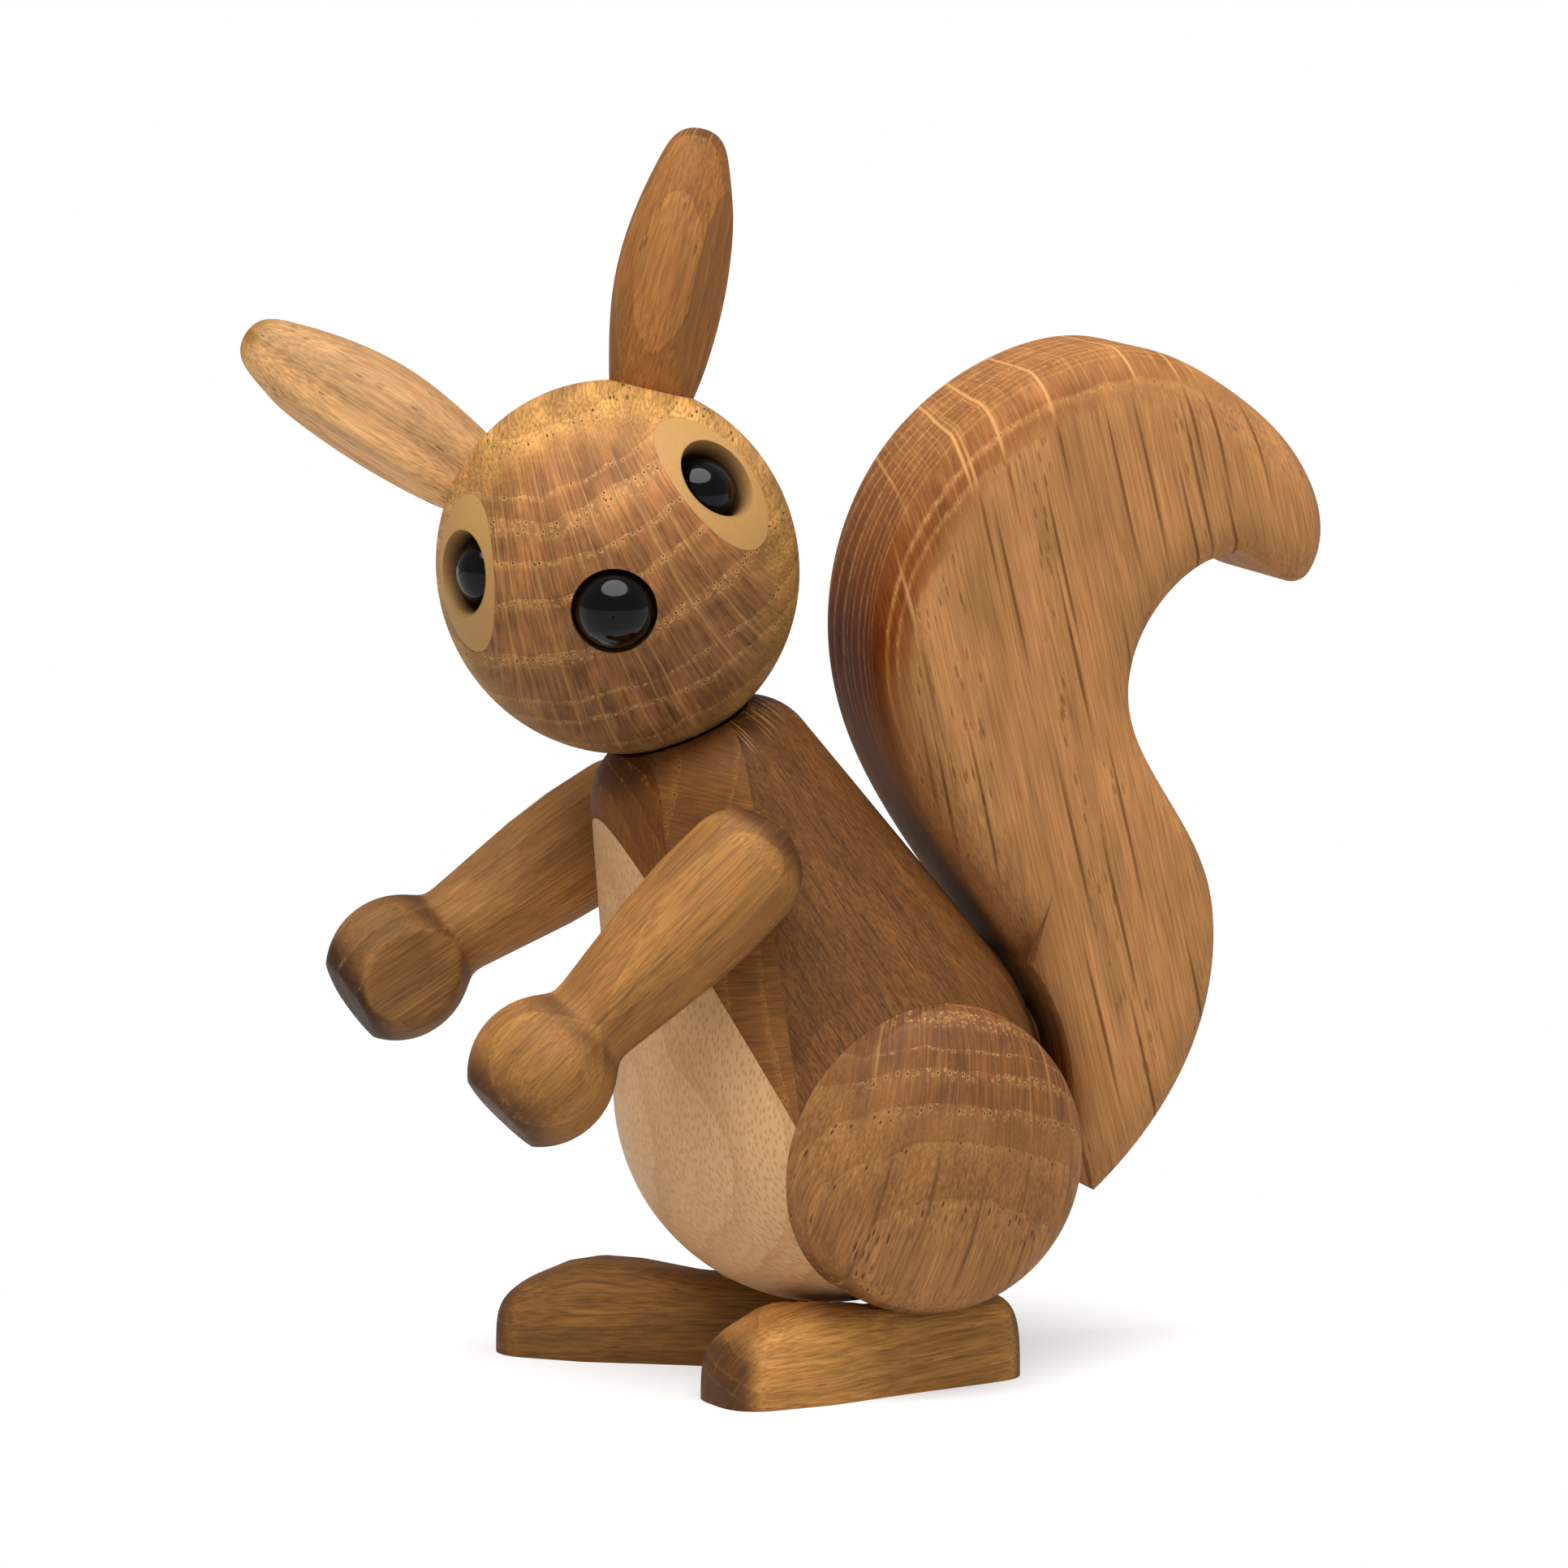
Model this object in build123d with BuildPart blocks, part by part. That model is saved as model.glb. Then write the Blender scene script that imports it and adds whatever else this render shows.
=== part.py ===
"""Jointed squirrel figurine in oiled oak, with a pale belly, pale eye rings and black beads.

The torso is a pear turned from four glued blocks. Head, arms, feet and tail turn on pins.
Millimetres and degrees. The origin is on the floor, under the middle of the figure.
The squirrel faces -Y, its left is +X and up is +Z.
"""

import os
from math import atan2, cos, degrees, hypot, radians, sin, sqrt, tan

from build123d import *

# Fits that all pieces share
moving_gap = 0.4
running_clearance = 0.05
glue_gap = 0.03
pin_chamfer = 0.5
overrun = 80.0

# Torso, a ball with a tapered neck that leans forward, glue lines as shares of the ball's radius
torso_ball_radius = 25.6
torso_floor_gap = 8.7
torso_ball_y = 3.2
torso_lean = 22.4
torso_taper = 17.2
neck_rim_radius = 8.6
neck_round_drop = 5.0
belly_glue_share = 0.422
belly_lean = 4.0
rear_glue_share = 0.445
board_share = 0.383
board_lean = 4.7

# Head, a slightly tall egg on the neck pin, turned towards the squirrel's left
head_radius = 21.2
head_half_height = 22.1
head_distance = 68.6
head_turn = 69.5
neck_pin_radius = 3.0
neck_pin_in_torso = 16.0
neck_pin_in_head = 13.0

# Eyes, an oval ring let into the head with a bead sunk in its dished hole
eye_azimuth = 55.5
eye_elevation = 23.2
eye_ring_width = 12.6
eye_ring_length = 18.4
eye_ring_depth = 8.8
eye_hole_rim_radius = 5.2
eye_hole_radius = 4.4
eye_dish_depth = 2.4
eye_bead_radius = 4.2
eye_bead_sink = 4.3
eye_peg_radius = 1.5
eye_peg_length = 6.5

# Nose, a larger bead that stands proud of the head
nose_bead_radius = 4.6
nose_bead_sink = 1.6
nose_hole_radius = 5.0
nose_peg_radius = 1.6
nose_peg_length = 8.0

# Ears, turned spindles with one flat carved face
ear_azimuth = 111.0
ear_left_angle = 56.0
ear_right_angle = 49.0
ear_length = 30.4
ear_base_radius = 4.3
ear_belly_radius = 6.7
ear_belly_height = 11.5
ear_neck_radius = 4.1
ear_neck_height = 26.4
ear_facet_offset = 4.9
ear_facet_turn = 45.0
ear_dowel_radius = 2.0
ear_dowel_in_head = 7.0
ear_dowel_in_ear = 8.0

# Arms, tapered limbs with a ball hand that is cut flat at its end
shoulder_height = 35.0
shoulder_forward = 5.7
arm_stand = 0.24
arm_length = 32.7
arm_root_radius = 7.1
arm_wrist_radius = 6.2
hand_radius = 8.8
hand_flat = 7.0
arm_inner_flat = 6.3
arm_left_angle = 42.5
arm_right_angle = 30.8
shoulder_pin_radius = 2.4
shoulder_pin_in_torso = 8.0
shoulder_pin_in_arm = 8.0

# Haunches, thick domed discs let into round seats in the sides of the torso
haunch_radius = 18.6
haunch_back = 6.0
haunch_drop = 5.5
haunch_seat_share = 0.547
haunch_wall = 5.0
haunch_dome = 10.0
haunch_back_rounding = 2.5
haunch_dowel_radius = 3.0
haunch_dowel_in_torso = 7.0
haunch_dowel_in_haunch = 7.0

# Feet, long carved soles that swivel on a pin near the heel
foot_length = 41.0
foot_width = 14.5
foot_height = 11.4
foot_sole_trim = 1.0
foot_end_rounding = 1.8
foot_boss_radius = 4.2
foot_boss_height = 10.5
foot_toe_reach = 30.0
foot_left_x = 9.0
foot_left_back = 10.0
foot_left_angle = 11.0
foot_right_x = 10.0
foot_right_back = -7.7
foot_right_angle = 33.0
foot_swivel_angle = 12.0
foot_pin_radius = 2.4
foot_pin_floor = 3.0
foot_pin_in_torso = 11.0
foot_section_shares = (
    # along the length from the toe, width, height, corner rounding
    (0.00, 0.72, 0.66, 0.30),
    (0.12, 0.88, 0.88, 0.40),
    (0.32, 1.00, 1.00, 0.44),
    (0.58, 0.78, 0.90, 0.40),
    (0.84, 0.76, 0.86, 0.40),
    (1.00, 0.58, 0.70, 0.34),
)

# Tail, a thick board with a curled top, on a dowel that points at the ball's centre
tail_depth = 56.6
tail_height = 104.6
tail_bottom = 18.0
tail_front_y = 2.8
tail_thickness = 28.0
tail_crown_rounding = 7.0
tail_back_rounding = 2.5
tail_dowel_radius = 4.0
tail_dowel_angle = 12.0
tail_dowel_in_torso = 13.0
tail_dowel_in_tail = 12.0
# Points as shares of the depth behind the front and of the height above the bottom
tail_crown_shares = (
    (0.32, 0.31), (0.15, 0.443), (0.03, 0.573), (0.0, 0.686), (0.112, 0.87),
    (0.36, 0.978), (0.567, 1.0), (0.795, 0.947), (0.945, 0.87), (1.0, 0.78), (0.965, 0.728),
)
tail_curl_shares = (
    (0.885, 0.735), (0.81, 0.762), (0.738, 0.76), (0.642, 0.728), (0.557, 0.657), (0.543, 0.597),
    (0.614, 0.504), (0.724, 0.389), (0.738, 0.332), (0.692, 0.202), (0.618, 0.129), (0.47, 0.04),
)
tail_root_shares = (0.22, 0.13)


def turned(plane, radius, length):
    """A pin or dowel along the plane's normal, with both ends chamfered."""
    with BuildPart() as pin:
        with BuildSketch(plane):
            Circle(radius)
        extrude(amount=length)
        chamfer(pin.edges().filter_by(GeomType.CIRCLE), length=pin_chamfer)
    return pin.part


def bore(plane, radius, length):
    """A plain cylinder along the plane's normal, taken away where a pin sits."""
    with BuildPart() as hole:
        with BuildSketch(plane):
            Circle(radius)
        extrude(amount=length)
    return hole.part


# Frame of the torso: its axis leans forward, its local y points back
torso_ball_height = torso_floor_gap + torso_ball_radius
ball_centre = Vector(0, torso_ball_y, torso_ball_height)
torso_axis = Vector(0, -sin(radians(torso_lean)), cos(radians(torso_lean)))
torso_plane = Plane(origin=ball_centre, x_dir=(1, 0, 0), z_dir=torso_axis)
torso_section = Plane(origin=ball_centre, x_dir=(1, 0, 0), z_dir=-torso_plane.y_dir)

# Frame of the head: its x points to the squirrel's left, its y to the back of the head
head_centre = torso_plane.from_local_coords(Vector(0, 0, head_distance))
head_left = torso_plane.x_dir * cos(radians(head_turn)) + torso_plane.y_dir * sin(radians(head_turn))
head_plane = Plane(origin=head_centre, x_dir=head_left, z_dir=torso_axis)
head_section = Plane(origin=head_centre, x_dir=head_plane.x_dir, z_dir=-head_plane.y_dir)


def head_direction(azimuth, elevation):
    """A unit vector from the head's centre, azimuth from the nose towards the left."""
    flat = cos(radians(elevation))
    local = Vector(flat * sin(radians(azimuth)), -flat * cos(radians(azimuth)), sin(radians(elevation)))
    return head_plane.from_local_coords(local) - head_centre


def head_surface(elevation):
    """The distance from the head's centre to its surface at an elevation."""
    across = cos(radians(elevation)) / head_radius
    along = sin(radians(elevation)) / head_half_height
    return 1 / hypot(across, along)


def head_seat(azimuth, elevation, depth):
    """A plane below the head's surface whose normal points straight out and whose x is level."""
    outward = head_direction(azimuth, elevation)
    level = outward.cross(torso_axis)
    place = head_centre + outward * (head_surface(elevation) - depth)
    return Plane(origin=place, x_dir=level, z_dir=outward)


def head_egg(growth):
    """The egg of the head, grown all round by a gap."""
    with BuildPart() as egg:
        with BuildSketch(head_section):
            with BuildLine():
                side = EllipticalCenterArc(
                    (0, 0), head_radius + growth, head_half_height + growth, start_angle=-90, arc_size=180
                )
                Line(side @ 1, side @ 0)
            make_face()
        revolve(axis=Axis(head_centre, torso_axis))
    return egg.part


head_blank = head_egg(0)
head_room = head_egg(moving_gap)

# Places where pins sit
rim_height = head_distance - (head_half_height + moving_gap) * sqrt(
    1 - (neck_rim_radius / (head_radius + moving_gap)) ** 2
)
neck_pin_start = rim_height - neck_pin_in_torso
neck_pin_length = neck_pin_in_torso + neck_pin_in_head
neck_pin_plane = torso_plane.offset(neck_pin_start)

taper = radians(torso_taper)
haunch_seat = torso_ball_radius * haunch_seat_share
haunch_centre_y = torso_ball_y + haunch_back
haunch_centre_z = torso_ball_height - haunch_drop
shoulder_centre = torso_plane.from_local_coords(Vector(0, -shoulder_forward, shoulder_height))
torso_at_shoulder = torso_ball_radius / cos(taper) - shoulder_height * tan(taper)
shoulder_seat = torso_at_shoulder + arm_stand
arm_spread = shoulder_seat + arm_inner_flat

tail_axis = Vector(0, cos(radians(tail_dowel_angle)), sin(radians(tail_dowel_angle)))
tail_dowel_start = torso_ball_radius - tail_dowel_in_torso
tail_dowel_plane = Plane(ball_centre + tail_axis * tail_dowel_start, (1, 0, 0), tail_axis)
tail_dowel_length = tail_dowel_in_torso + tail_dowel_in_tail

sides = {"left": 1, "right": -1}
ear_elevations = {"left": ear_left_angle, "right": ear_right_angle}
arm_drops = {"left": arm_left_angle, "right": arm_right_angle}
foot_places = {
    "left": (foot_left_x, torso_ball_y + foot_left_back, foot_left_angle),
    "right": (-foot_right_x, torso_ball_y + foot_right_back, -foot_right_angle),
}
foot_pin_length = foot_boss_height - foot_pin_floor + foot_pin_in_torso


def side_plane(side, x, y, z):
    """A plane on one side of the figure that faces outward along X."""
    return Plane(origin=(sides[side] * x, y, z), x_dir=(0, 1, 0), z_dir=(sides[side], 0, 0))


def shoulder_pin_plane(side):
    """Where the inner end of a shoulder pin lies in the torso."""
    return side_plane(side, shoulder_seat - shoulder_pin_in_torso, shoulder_centre.Y, shoulder_centre.Z)


def haunch_dowel_plane(side):
    """Where the inner end of a haunch dowel lies in the torso."""
    return side_plane(side, haunch_seat - haunch_dowel_in_torso, haunch_centre_y, haunch_centre_z)


def ear_seat(side, depth):
    """A plane below the head's surface that an ear's axis crosses squarely."""
    return head_seat(sides[side] * ear_azimuth, ear_elevations[side], depth)


def foot_pin_plane(side):
    """Where the lower end of a foot pin lies in the foot."""
    x, y, toe_out = foot_places[side]
    return Plane(origin=(x, y, foot_pin_floor))


pieces = {}

# Neck pin, fixed in the torso, the head turns on its upper half
pieces["neck_pin"] = turned(neck_pin_plane, neck_pin_radius, neck_pin_length)

# Dowels and pins in pairs
shoulder_pin_length = shoulder_pin_in_torso + shoulder_pin_in_arm
haunch_dowel_length = haunch_dowel_in_torso + haunch_dowel_in_haunch
ear_dowel_length = ear_dowel_in_head + ear_dowel_in_ear
for side in sides:
    shoulder_start = shoulder_pin_plane(side)
    pieces[f"shoulder_pin_{side}"] = turned(shoulder_start, shoulder_pin_radius, shoulder_pin_length)
    haunch_start = haunch_dowel_plane(side)
    pieces[f"haunch_dowel_{side}"] = turned(haunch_start, haunch_dowel_radius, haunch_dowel_length)
    pieces[f"foot_pin_{side}"] = turned(foot_pin_plane(side), foot_pin_radius, foot_pin_length)
    ear_start = ear_seat(side, ear_dowel_in_head)
    pieces[f"ear_dowel_{side}"] = turned(ear_start, ear_dowel_radius, ear_dowel_length)
pieces["tail_dowel"] = turned(tail_dowel_plane, tail_dowel_radius, tail_dowel_length)

# Pear that the torso is turned to
round_height = rim_height - neck_round_drop
round_start = Vector(torso_ball_radius / cos(taper) - round_height * tan(taper), round_height)
with BuildPart() as pear:
    with BuildSketch(torso_section):
        with BuildLine():
            belly_arc = CenterArc((0, 0), torso_ball_radius, start_angle=-90, arc_size=90 + torso_taper)
            Line(belly_arc @ 1, round_start)
            shoulder_arc = TangentArc(
                round_start, (neck_rim_radius, rim_height), tangent=(-sin(taper), cos(taper))
            )
            Polyline(shoulder_arc @ 1, (0, rim_height), belly_arc @ 0)
        make_face()
    revolve(axis=Axis(ball_centre, torso_axis))

# Torso blank: the pear, dished for the head, with the seats and bores of everything that it carries
torso_cuts = [head_room]
torso_cuts.append(bore(neck_pin_plane, neck_pin_radius + glue_gap, neck_pin_length))
torso_cuts.append(bore(tail_dowel_plane, tail_dowel_radius + running_clearance, tail_dowel_length))
for side in sides:
    pin_bore = shoulder_pin_radius + running_clearance
    torso_cuts.append(bore(shoulder_pin_plane(side), pin_bore, shoulder_pin_length))
    seat_plane = side_plane(side, shoulder_seat - moving_gap, shoulder_centre.Y, shoulder_centre.Z)
    torso_cuts.append(bore(seat_plane, arm_root_radius + moving_gap, overrun))
    torso_cuts.append(bore(haunch_dowel_plane(side), haunch_dowel_radius + glue_gap, haunch_dowel_length))
    seat_plane = side_plane(side, haunch_seat, haunch_centre_y, haunch_centre_z)
    torso_cuts.append(bore(seat_plane, haunch_radius + glue_gap, overrun))
    torso_cuts.append(bore(foot_pin_plane(side), foot_pin_radius + running_clearance, foot_pin_length))
    boss_room = foot_boss_height + moving_gap - foot_pin_floor
    torso_cuts.append(bore(foot_pin_plane(side), foot_boss_radius + moving_gap, boss_room))
with BuildPart() as torso_blank:
    add(pear.part)
    add(torso_cuts, mode=Mode.SUBTRACT)

# Glue planes, each with its normal pointing forward
belly_turn = radians(torso_lean + belly_lean)
belly_forward = Vector(0, -cos(belly_turn), -sin(belly_turn))
belly_seam = torso_plane.from_local_coords(Vector(0, -torso_ball_radius * belly_glue_share, 0))
belly_plane = Plane(belly_seam, (1, 0, 0), belly_forward)
board_forward = Vector(0, -cos(radians(board_lean)), -sin(radians(board_lean)))
rear_seam = Vector(0, torso_ball_y - torso_ball_radius * rear_glue_share, torso_ball_height)
rear_plane = Plane(rear_seam, (1, 0, 0), board_forward)
front_plane = rear_plane.offset(torso_ball_radius * board_share)

# Rear block, the back half of the torso
with BuildPart() as torso_rear:
    add(torso_blank.part)
    split(bisect_by=rear_plane, keep=Keep.BOTTOM)
    split(bisect_by=belly_plane, keep=Keep.BOTTOM)
pieces["torso_rear_block"] = torso_rear.part

# Middle board, which holds the shoulder pins
with BuildPart() as torso_middle:
    add(torso_blank.part)
    split(bisect_by=rear_plane, keep=Keep.TOP)
    split(bisect_by=front_plane, keep=Keep.BOTTOM)
    split(bisect_by=belly_plane, keep=Keep.BOTTOM)
pieces["torso_middle_board"] = torso_middle.part

# Front board, the throat above the belly
with BuildPart() as torso_front:
    add(torso_blank.part)
    split(bisect_by=front_plane, keep=Keep.TOP)
    split(bisect_by=belly_plane, keep=Keep.BOTTOM)
pieces["torso_front_board"] = torso_front.part

# Belly, the pale block glued to the front
with BuildPart() as belly:
    add(torso_blank.part)
    split(bisect_by=belly_plane, keep=Keep.TOP)
pieces["belly"] = belly.part

# Haunches, sanded flush with the torso where their seats are deep
for side in sides:
    haunch_section = Plane(
        origin=(sides[side] * haunch_seat, haunch_centre_y, haunch_centre_z),
        x_dir=(0, 1, 0),
        z_dir=(0, 0, -sides[side]),
    )
    dowel_room = bore(haunch_dowel_plane(side), haunch_dowel_radius + glue_gap, haunch_dowel_length)
    wall_plane = side_plane(side, haunch_seat + haunch_wall, haunch_centre_y, haunch_centre_z)
    with BuildPart() as flush:
        add(bore(wall_plane, haunch_radius, overrun))
        add(pear.part, mode=Mode.INTERSECT)
    with BuildPart() as haunch:
        with BuildSketch(haunch_section):
            with BuildLine():
                dome = Spline(
                    (haunch_radius, haunch_wall),
                    (haunch_radius * cos(radians(45)), haunch_wall + haunch_dome * sin(radians(45))),
                    (0, haunch_wall + haunch_dome),
                    tangents=((0, 1), (-1, 0)),
                )
                Polyline(dome @ 1, (0, 0), (haunch_radius, 0), dome @ 0)
            make_face()
        revolve(axis=Axis(haunch_section.origin, (1, 0, 0)))
        back_edge = haunch.edges().filter_by(GeomType.CIRCLE).sort_by(Axis.X)[0 if sides[side] > 0 else -1]
        fillet(back_edge, radius=haunch_back_rounding)
        add(flush.part)
        add(dowel_room, mode=Mode.SUBTRACT)
    pieces[f"haunch_{side}"] = haunch.part

# Head: the egg with its pockets
head_cuts = [bore(neck_pin_plane, neck_pin_radius + running_clearance, neck_pin_length + moving_gap)]
eye_ring_plugs = {}
for side in sides:
    ring_plane = head_seat(sides[side] * eye_azimuth, eye_elevation, eye_ring_depth)
    for growth in (0, glue_gap):
        with BuildPart() as plug:
            with BuildSketch(ring_plane):
                Ellipse(eye_ring_width / 2 + growth, eye_ring_length / 2 + growth)
            extrude(amount=overrun)
        eye_ring_plugs[side, growth] = plug.part
    head_cuts.append(eye_ring_plugs[side, glue_gap])
    peg_plane = head_seat(sides[side] * eye_azimuth, eye_elevation, eye_bead_sink + eye_peg_length)
    head_cuts.append(bore(peg_plane, eye_peg_radius + glue_gap, overrun))
    head_cuts.append(bore(ear_seat(side, ear_dowel_in_head), ear_dowel_radius + glue_gap, overrun))
nose_plane = head_seat(0, 0, nose_bead_sink)
head_cuts.append(bore(nose_plane.offset(-nose_bead_radius), nose_hole_radius, overrun))
head_cuts.append(bore(nose_plane.offset(-nose_peg_length), nose_peg_radius + glue_gap, overrun))
with BuildPart() as head:
    add(head_blank)
    add(head_cuts, mode=Mode.SUBTRACT)
pieces["head"] = head.part


def bead(plane, radius, peg_radius, peg_length):
    """A polished ball whose centre is on the plane, with a peg that runs back into the head."""
    with BuildPart() as ball:
        with BuildSketch(Plane(plane.origin, plane.x_dir, -plane.y_dir)):
            with BuildLine():
                peg_top = -sqrt(radius**2 - peg_radius**2)
                front = JernArc((0, radius), (1, 0), radius, -180 + degrees(atan2(peg_radius, -peg_top)))
                Polyline(front @ 1, (peg_radius, -peg_length), (0, -peg_length), (0, radius))
            make_face()
        revolve(axis=Axis(plane.origin, plane.z_dir))
    return ball.part


# Eye rings and beads
for side in sides:
    azimuth = sides[side] * eye_azimuth
    surface = head_seat(azimuth, eye_elevation, 0)
    with BuildPart() as eye_ring:
        add(eye_ring_plugs[side, 0])
        add(head_blank, mode=Mode.INTERSECT)
        with BuildSketch(surface.offset(-eye_dish_depth)):
            Circle(eye_hole_radius)
        with BuildSketch(surface.offset(eye_dish_depth)):
            Circle(eye_hole_rim_radius + eye_hole_rim_radius - eye_hole_radius)
        loft(mode=Mode.SUBTRACT)
        with BuildSketch(surface.offset(-eye_ring_depth)):
            Circle(eye_hole_radius)
        extrude(amount=eye_ring_depth, mode=Mode.SUBTRACT)
    pieces[f"eye_ring_{side}"] = eye_ring.part
    bead_plane = head_seat(azimuth, eye_elevation, eye_bead_sink)
    pieces[f"eye_bead_{side}"] = bead(bead_plane, eye_bead_radius, eye_peg_radius, eye_peg_length)
pieces["nose_bead"] = bead(nose_plane, nose_bead_radius, nose_peg_radius, nose_peg_length)

# Ears
for side in sides:
    ear_plane = ear_seat(side, ear_base_radius)
    ear_section = Plane(ear_plane.origin, ear_plane.x_dir, -ear_plane.y_dir)
    turn = radians(ear_facet_turn)
    facet_out = ear_plane.x_dir * (sides[side] * sin(turn)) + ear_plane.y_dir * cos(turn)
    facet_plane = Plane(ear_plane.origin + facet_out * ear_facet_offset, ear_plane.z_dir, facet_out)
    dowel_room = bore(ear_seat(side, ear_dowel_in_head), ear_dowel_radius + glue_gap, ear_dowel_length)
    with BuildPart() as ear:
        with BuildSketch(ear_section):
            with BuildLine():
                flank = Spline(
                    (ear_base_radius, 0),
                    (ear_belly_radius, ear_base_radius + ear_belly_height),
                    (ear_neck_radius, ear_base_radius + ear_neck_height),
                    (0, ear_base_radius + ear_length),
                    tangents=((ear_belly_radius - ear_base_radius, ear_belly_height), (-1, 0)),
                )
                Polyline(flank @ 1, (0, 0), flank @ 0)
            make_face()
        revolve(axis=Axis(ear_plane.origin, ear_plane.z_dir))
        split(bisect_by=facet_plane, keep=Keep.BOTTOM)
        add([head_blank, dowel_room], mode=Mode.SUBTRACT)
    pieces[f"ear_{side}"] = ear.part

# Arms
for side in sides:
    drop = radians(arm_drops[side])
    reach = Vector(0, -cos(drop), -sin(drop))
    arm_centre = Vector(sides[side] * arm_spread, shoulder_centre.Y, shoulder_centre.Z)
    arm_section = Plane(arm_centre, x_dir=reach.cross(Vector(1, 0, 0)), z_dir=(1, 0, 0))
    flat_plane = side_plane(side, shoulder_seat, shoulder_centre.Y, shoulder_centre.Z)
    pin_room = bore(shoulder_pin_plane(side), shoulder_pin_radius + glue_gap, shoulder_pin_length)
    wrist = arm_length - sqrt(hand_radius**2 - arm_wrist_radius**2)
    with BuildPart() as arm:
        with BuildSketch(arm_section):
            with BuildLine():
                root = CenterArc((0, 0), arm_root_radius, start_angle=-90, arc_size=90)
                limb = Line(root @ 1, (arm_wrist_radius, wrist))
                hand = ThreePointArc(
                    limb @ 1,
                    (hand_radius, arm_length),
                    (sqrt(hand_radius**2 - hand_flat**2), arm_length + hand_flat),
                )
                Polyline(hand @ 1, (0, arm_length + hand_flat), root @ 0)
            make_face()
        revolve(axis=Axis(arm_centre, reach))
        with BuildSketch(flat_plane):
            Circle(wrist)
        extrude(amount=-overrun, mode=Mode.SUBTRACT)
        add(pin_room, mode=Mode.SUBTRACT)
    pieces[f"arm_{side}"] = arm.part

# Room that a haunch needs beside a piece that moves
haunch_rooms = {}
for side in sides:
    room_plane = side_plane(side, haunch_seat - moving_gap, haunch_centre_y, haunch_centre_z)
    haunch_rooms[side] = bore(room_plane, haunch_radius + moving_gap, overrun)

# Feet, each hollowed under the torso and the haunch over the whole swivel
for side in sides:
    x, y, toe_out = foot_places[side]
    pin_foot = Vector(x, y, 0)
    heel_axis = Vector(-sin(radians(toe_out)), cos(radians(toe_out)), 0)
    toe = pin_foot - heel_axis * foot_toe_reach
    pin_room = bore(foot_pin_plane(side), foot_pin_radius + glue_gap, foot_pin_length)
    with BuildPart() as foot:
        for along_share, width_share, height_share, corner_share in foot_section_shares:
            height = foot_height * height_share
            middle = Vector(0, 0, (height - foot_sole_trim) / 2)
            place = toe + heel_axis * (foot_length * along_share) + middle
            section = Plane(place, Vector(0, 0, 1).cross(heel_axis), heel_axis)
            with BuildSketch(section) as outline:
                Rectangle(foot_width * width_share, height + foot_sole_trim)
                fillet(outline.vertices().group_by(Axis.Y)[-1], radius=height * corner_share)
        loft()
        ends = foot.faces().sort_by(Axis(pin_foot, heel_axis))
        fillet(ends[0].edges() + ends[-1].edges(), radius=foot_end_rounding)
        split(bisect_by=Plane.XY, keep=Keep.TOP)
        for swing in (-foot_swivel_angle, 0, foot_swivel_angle):
            with Locations(pin_foot + (ball_centre - pin_foot).rotate(Axis.Z, swing)):
                Sphere(torso_ball_radius + moving_gap, mode=Mode.SUBTRACT)
            add(haunch_rooms[side].rotate(Axis(pin_foot, (0, 0, 1)), swing), mode=Mode.SUBTRACT)
        with BuildSketch(Plane(pin_foot)):
            Circle(foot_boss_radius)
        extrude(amount=foot_boss_height)
        add(pin_room, mode=Mode.SUBTRACT)
    pieces[f"foot_{side}"] = foot.part

# Tail, hollowed at its root so that it clears the torso and the haunches when it twists
tail_front = torso_ball_y + tail_front_y
tail_room_radius = torso_ball_radius + moving_gap
haunch_along_tail = Vector(0, haunch_back, -haunch_drop).dot(tail_axis)
tail_root_clear = haunch_along_tail + haunch_radius + moving_gap


def tail_point(share):
    """A point of the tail's outline in the YZ plane from its shares of depth and height."""
    return (tail_front + tail_depth * share[0], tail_bottom + tail_height * share[1])


with BuildPart() as tail:
    with BuildSketch(Plane.YZ.offset(-tail_thickness / 2)):
        with BuildLine():
            crown = Spline(*[tail_point(share) for share in tail_crown_shares])
            curl = Spline(crown @ 1, *[tail_point(share) for share in tail_curl_shares])
            Polyline(curl @ 1, tail_point(tail_root_shares), crown @ 0)
        make_face()
    extrude(amount=tail_thickness)
    for rank, rounding in enumerate((tail_crown_rounding, tail_back_rounding)):
        flanks = tail.faces().filter_by(Axis.X)
        fillet([flank.edges().sort_by(SortBy.LENGTH)[-1 - rank] for flank in flanks], radius=rounding)
    with BuildSketch(Plane(ball_centre, (0, 1, 0), (1, 0, 0))):
        Circle(tail_room_radius)
    extrude(amount=overrun, both=True, mode=Mode.SUBTRACT)
    with BuildSketch(Plane(ball_centre, tail_axis, (1, 0, 0))):
        Rectangle(tail_root_clear, overrun, align=(Align.MIN, Align.MAX))
    extrude(amount=overrun, both=True, mode=Mode.SUBTRACT)
    add(bore(tail_dowel_plane, tail_dowel_radius + glue_gap, tail_dowel_length), mode=Mode.SUBTRACT)
pieces["tail"] = tail.part

os.makedirs("parts", exist_ok=True)
for name, piece in pieces.items():
    piece.label = name
    export_step(piece, f"parts/{name}.step")
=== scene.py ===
"""Looks of the jointed squirrel: oiled oak on every limb, a beech belly, maple eye rings and black beads.

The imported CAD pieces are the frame. Sections follow the figure as it is put together.
"""

from math import cos, radians, sin

import bpy
import numpy as np
from mathutils import Matrix, Vector


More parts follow.
